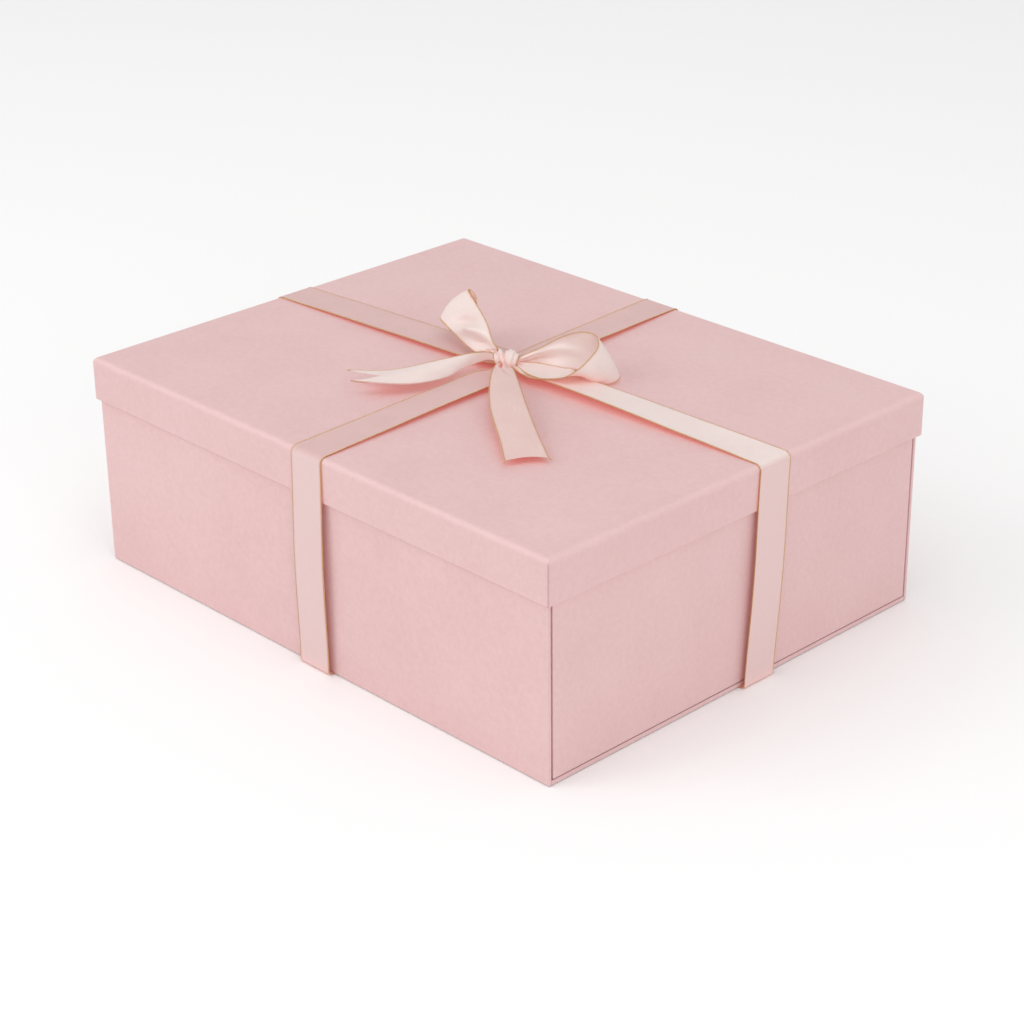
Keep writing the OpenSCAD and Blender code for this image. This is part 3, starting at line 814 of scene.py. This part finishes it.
def addArm(name, arm, shape):
    half = lidHigh.x if arm["turn"] % 180 == 0 else lidHigh.y
    knotX, knotY, _ = turnPlan(np.array((*arm["aim"], 0.0)) * mm, -arm["turn"])
    edgeY = arm["crosses"] * mm
    bend, foot = shape["bendRound"], shape["footRound"]
    bendX = half + shape["offRim"] - bend
    bendZ = lidTop + shape["offLid"] - bend
    flatX = np.linspace(knotX + arm["start"] * mm, bendX, 90, endpoint=False)
    fromKnot = flatX - knotX
    share = fromKnot / (bendX - knotX)
    lifted = arm["lift"] * mm * (1 - share ** shape["easing"])
    ripple = shape["ripple"] * np.sin(fromKnot / shape["rippleLength"] + arm["turn"])
    ripple = ripple * smoothStep(share, 0, 0.2)
    flat = np.stack([flatX, knotY + (edgeY - knotY) * share,
                     lidTop + shape["offLid"] + lifted + np.abs(ripple)], axis=1)
    angle = np.linspace(0, math.pi / 2, 14, endpoint=False)
    bent = np.stack([bendX + bend * np.sin(angle), np.full(len(angle), edgeY),
                     bendZ + bend * np.cos(angle)], axis=1)
    drop = np.linspace(0, 1, 60, endpoint=False)
    out = (shape["offRim"] + (shape["footOut"] - shape["offRim"]) * drop
           + arm["belly"] * mm * np.sin(math.pi * drop) ** 2)
    hung = np.stack([half + out, edgeY + arm["lean"] * mm * drop,
                     bendZ + (shape["footHigh"] - bendZ) * drop], axis=1)
    angle = np.radians(np.linspace(0, shape["footTurn"], 6))
    footX = half + shape["footOut"] - foot
    curled = np.stack([footX + foot * np.cos(angle), np.full(len(angle), edgeY + arm["lean"] * mm),
                       shape["footHigh"] - foot * np.sin(angle)], axis=1)
    line = np.concatenate([flat, bent, hung, curled])
    grown = arm["pinch"] + (1 - arm["pinch"]) * smoothStep(fromKnot, 0, arm["flare"] * mm)
    widths = np.r_[grown, np.ones(len(line) - len(grown))] * ribbon["width"] / 2
    sideways = np.zeros_like(line)
    sideways[:, 1] = widths
    sag = np.zeros_like(line)
    sag[:len(flat), 2] = -shape["sag"]
    rows = np.stack([line - sideways, line + sideways, sag], axis=1)
    raised = np.minimum(1.15 * (1 - share), 0.75) * (1 - smoothStep(share, 0.9, 1)) * mm
    for edge, tilt in enumerate(arm["tilts"]):
        rows[:len(flat), edge, 2] += tilt * raised
    rows = turnPlan(rows, arm["turn"])
    surface = ribbonSurface(rows, {"phase": arm["turn"], "knots": ((0, 0.25),)})
    title = "ribbon" + name.capitalize()
    addRibbon(title, [surface], "ribbon",
              ["ribbon_" + name + "_arm", "ribbon_" + name + "_strap"], lengthsAlong(line)[-1],
              arm["finish"])


for side in armRibbons:
    addArm(side, armRibbons[side], armShape)


underShape = {"high": 0.2 * mm, "pressed": 0.5, "turnRound": 1.75 * mm, "gap": 1.0 * mm}


# a stretch under the base from one side's foot to the other's, in the frame of the side at its end
def underRows(half, fromY, toY, shape, ends):
    footX = half - shape["turnRound"]
    flat = np.linspace(-footX, footX, 60)
    z = np.full(len(flat), shape["high"])
    angle = np.radians(np.linspace(0, 90, 8))[1:]
    riseX, riseZ = footX + shape["turnRound"] * np.sin(angle), shape["turnRound"] * (1 - np.cos(angle))
    x = np.r_[-riseX[::-1], flat, riseX]
    z = np.r_[shape["high"] + riseZ[::-1], z, shape["high"] + riseZ]
    y = fromY + (toY - fromY) * np.clip((x + footX) / (2 * footX), 0, 1)
    line = np.stack([x, y, z], axis=1)
    line = line[(x >= ends[0]) & (x <= ends[1])]
    sideways = np.zeros_like(line)
    sideways[:, 1] = ribbon["width"] / 2
    return line, np.stack([line - sideways, line + sideways, np.zeros_like(line)], axis=1)


def addUnder(shape):
    arms = armRibbons
    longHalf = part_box("ribbon_under_long")[1].x - 0.2 * mm
    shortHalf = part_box("ribbon_under_short")[1].y - 0.2 * mm
    far = 1.0
    line, rows = underRows(longHalf, -arms["left"]["crosses"] * mm,
                           (arms["right"]["crosses"] + arms["right"]["lean"]) * mm, shape, (-far, far))
    addRibbon("ribbonUnderLong", [ribbonSurface(rows)], "base",
              ["ribbon_under_long"], lengthsAlong(line)[-1], dullSatin, shape["pressed"])
    fromY = -arms["front"]["crosses"] * mm
    toY = (arms["back"]["crosses"] + arms["back"]["lean"]) * mm
    middle = (arms["right"]["crosses"] + arms["right"]["lean"] - arms["left"]["crosses"]) / 2 * mm
    stop = ribbon["width"] / 2 + shape["gap"]
    surfaces, length = [], 0
    for ends in ((-far, middle - stop), (middle + stop, far)):
        line, rows = underRows(shortHalf, fromY, toY, shape, ends)
        surfaces.append(ribbonSurface(turnPlan(rows, 90)))
        length += lengthsAlong(line)[-1]
    addRibbon("ribbonUnderShort", surfaces, "base",
              ["ribbon_under_short"], length, dullSatin, shape["pressed"])


addUnder(underShape)
print("ribbons tied round the box")


# stations of the bow's ribbons, in mm from the middle of the lid's top: one edge, the other edge,
# and how far the middle of the ribbon is carried aside
bow = {
    "leftLoop": [
        ((-3, 2.5, 5), (-2, 5, 7), (0, 0, 0)),
        ((-14.5, 2, 6), (-6.5, 5, 9), (0, 0, 0.5)),
        ((-18.5, 1, 6.5), (-6.5, 4.5, 10.5), (0, 0, 1)),
        ((-25, 1.5, 8), (-10, 4.5, 14), (-1, -0.5, 1)),
        ((-34, 4, 9.5), (-16, 8, 17.5), (-1, -1, 1)),
        ((-41.5, 5.5, 11), (-24, 12, 20.5), (-1, 0, 0.5)),
        ((-48, 7.5, 12), (-33, 16, 23), (-1.5, 0, 0.5)),
        ((-53, 10, 12), (-45, 22, 25), (-3, 1, 1)),
        ((-53.5, 12.5, 11.5), (-46, 24.5, 25), (-3, 1, 0)),
        ((-46, 12, 9), (-38, 20.5, 24.5), (0, 2, -2)),
        ((-37, 10, 7), (-31.6, 15.3, 22), (0, 2, -2)),
        ((-28, 8, 6), (-23.7, 11.7, 18), (0, 1.5, -1.5)),
        ((-19, 7, 5.5), (-16.5, 8.2, 14), (0, 1, -1)),
        ((-11, 6, 5), (-9.5, 6, 9.5), (0, 0, 0)),
        ((-3, 5, 4), (-2, 6, 7), (0, 0, 0))],
    "rightLoop": [
        ((4, 4.5, 7), (3.5, 5.5, 4.5), (0, 0, 0)),
        ((10.5, 15, 11.5), (10.5, 15, 4.5), (0, 0, 0)),
        ((17.5, 23, 17), (20, 18.5, 4), (-1, 1.5, 0)),
        ((23.5, 28.5, 20), (28, 25, 3), (-1, 2, 0)),
        ((28.5, 32, 20.5), (37, 30.5, 2.5), (0, 2, 0)),
        ((33.5, 32.5, 20), (43.5, 35, 2.5), (0.5, 1.5, 0)),
        ((38, 29.5, 18.5), (46.5, 35.5, 2), (1, 0.5, 0)),
        ((40.5, 26, 17), (48.5, 31, 1.5), (1.5, 0, 0)),
        ((42, 20.5, 15), (47, 25.5, 1), (2, -0.5, 0)),
        ((42, 14.5, 12), (41.5, 22, 1), (2, -1, 0)),
        ((41.5, 8.5, 10), (34.5, 21.5, 3), (1.5, -1, 0)),
        ((39.5, 4.5, 8.5), (29, 20.5, 5), (0.5, -0.5, -0.5)),
        ((35, 3, 7), (25, 19.5, 4.6), (0, 0, -1)),
        ((28.5, 1.5, 5.5), (19.5, 18.5, 4.4), (0, 0, -1)),
        ((22, 0, 4.6), (13.5, 14.5, 5.2), (0, 0, -0.5)),
        ((15, 0.5, 4.5), (8.5, 9.5, 5.6), (0, 0, 0)),
        ((4, 3.5, 5), (3, 5, 4.5), (0, 0, 0))],
    "leftTail": [
        ((-2, 4.5, 6.5), (-2, 3, 4.5), (0, 0, 0)),
        ((-9, 1.5, 8.5), (-8.5, 1, 5), (0, 0, 0)),
        ((-12.5, -4.5, 9), (-11, -4, 4), (0, 0, 0.5)),
        ((-16.5, -14, 8.5), (-11.5, -13.5, 3.5), (1, 0, 1)),
        ((-20, -23, 8), (-9.5, -25, 3.5), (1, 0, 1.5)),
        ((-23, -31.5, 7.5), (-9.5, -37, 4.5), (0.5, 0, 1.5)),
        ((-26, -39, 7), (-12.5, -47.5, 5.5), (0, 0, 1.2)),
        ((-33, -46.5, 6), (-18.5, -57, 7), (0, 0, 0.5)),
        ((-46.5, -55.5, 5), (-31, -67, 8), (0, 0, -0.5))],
    "frontTail": [
        ((0, 2, 6), (2, 4, 6), (0, 0, 0)),
        ((7, -11, 7.5), (13, -3.5, 7.5), (0, 0, 0)),
        ((21.5, -27, 8), (28.5, -15, 8.5), (0, 0, 0.5)),
        ((40.5, -44.5, 7.5), (49.5, -30.5, 8), (0, 0, 0.5)),
        ((65, -62, 4.5), (71.5, -45, 5), (0, 0, 0.3)),
        ((80, -73.5, 3), (91.5, -57.5, 3), (0, 0, 0))],
}
bowSettings = {
    # knots: where along the ribbon it is gathered, and how far
    # folds: place along and across, size along and across, slant, and height in mm
    "leftLoop": {"node": "bow_left_loop", "pleats": 2.5, "phase": 0.6, "finish": shinySatin,
                 "knots": ((0, 0.12), (1, 0.12)), "slack": 0.03,
                 "folds": [(0.17, 0.5, 0.045, 0.28, 1.5, 2.8), (0.25, 0.55, 0.035, 0.26, -2.0, -3.4),
                           (0.34, 0.5, 0.045, 0.28, -3.0, 2.6)]},
    "rightLoop": {"node": "bow_right_loop", "pleats": 2.5, "phase": 2.2,
                  "finish": shinySatin, "knots": ((0, 0.1), (1, 0.1)), "slack": 0.0,
                  "folds": [(0.16, 0.4, 0.07, 0.14, 2.0, -1.3), (0.12, 0.72, 0.06, 0.14, 0.5, 1.2)]},
    "leftTail": {"node": "bow_left_tail", "pleats": 1.5, "phase": 0.4, "finish": shinySatin,
                 "knots": ((0, 0.1),), "tuck": 0.46, "slack": 0.05, "loose": 0.6,
                 "folds": [(0.75, 0.5, 0.15, 0.3, 0.5, 0.8)]},
    "frontTail": {"node": "bow_front_tail", "pleats": 1.5, "phase": 2.6,
                  "finish": warmSatin, "knots": ((0, 0.2),), "slack": 0.0, "loose": 1.8,
                  "folds": [(0.12, 0.2, 0.08, 0.1, 3.0, 1.2), (0.17, 0.55, 0.07, 0.1, 3.0, -0.9)]},
}
bowRows = 170
notchDepth = 0.14  # both as a share of the tail's length
hollowDepth = 0.02


def vNotch(t):
    return 1 - notchDepth * (1 - np.abs(2 * t - 1))


def hollowCut(t):
    return 1 - hollowDepth * 4 * t * (1 - t)


endCuts = {"leftTail": vNotch, "frontTail": hollowCut}


# the length to cut for a stretch: along its middle, before any shaped end
def cutLength(surface):
    return lengthsAlong(surface[:, surface.shape[1] // 2])[-1]


def addBowRibbon(name, stations, look):
    rows = smoothLine(np.array(stations) * mm, bowRows)
    rows[:, :2] += np.array((0, 0, lidTop))
    surface = ribbonSurface(rows, look, endCuts.get(name))
    title = "bow" + name[0].upper() + name[1:]
    addRibbon(title, [surface], "ribbon", [look["node"]],
              cutLength(ribbonSurface(rows, look)), look["finish"], loose=look.get("loose", 0) * mm)


for name in bow:
    addBowRibbon(name, bow[name], bowSettings[name])


knotShape = {"radius": 4.6 * mm, "halfLength": 6.4 * mm, "turn": 24, "high": 5.8 * mm, "skew": 1.8 * mm,
             "middle": (1 * mm, 4 * mm), "start": -70, "end": 285, "belly": 1.2 * mm, "edgesIn": 0.8 * mm,
             "pleats": 6.5, "phase": 0.8, "knots": ((0.5, 3),),
             "folds": [(0.5, 0.7, 0.5, 0.2, 0.0, 1.3), (0.5, 0.42, 0.4, 0.06, 0.55, -1.7),
                       (0.5, 0.28, 0.3, 0.07, 0.75, 1.2), (0.5, 0.14, 0.3, 0.05, 0.9, -1.3)]}


# the crossing turn of ribbon, gathered to half its width and wound over the middle of the bow
def addKnot(look):
    share = np.linspace(0, 1, 90)
    angle = np.radians(look["start"] + (look["end"] - look["start"]) * share)
    radius = look["radius"] * (1 - 0.1 * share)
    centre = np.stack([look["skew"] * (share - 0.5) * 2, radius * np.cos(angle), radius * np.sin(angle)],
                      axis=1)
    sideways = np.zeros_like(centre)
    sideways[:, 0] = look["halfLength"] * (0.8 + 0.2 * np.sin(angle))
    outward = unitRows(centre * np.array((0, 1, 1)))
    belly = outward * look["belly"]
    inward = -outward * look["edgesIn"]
    rows = np.stack([centre - sideways + inward, centre + sideways + inward, belly], axis=1)
    rows = turnPlan(rows, look["turn"])
    rows[:, :2] += np.array((*look["middle"], lidTop + look["high"]))
    surface = ribbonSurface(rows, look)
    addRibbon("bowKnot", [surface], "ribbon", ["bow_knot"],
              cutLength(surface), shinySatin)


addKnot(knotShape)
print("bow tied")


nodeFinishes = {
    greyBoard: ["base_board", "front_wall_board", "back_wall_board", "left_end_board", "right_end_board",
                "lid_top_board", "lid_front_rim", "lid_back_rim", "lid_left_rim", "lid_right_rim"],
    liningPaper: ["base_lining", "left_end_lining", "right_end_lining", "lid_lining",
                  "lid_corner_stays"],
    tabCard: ["front_left_tab", "front_right_tab", "back_left_tab", "back_right_tab"],
    glueFilm: ["tab_glue"],
}
for finish, names in nodeFinishes.items():
    for name in names:
        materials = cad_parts[name].data.materials
        materials.clear()
        materials.append(finish)
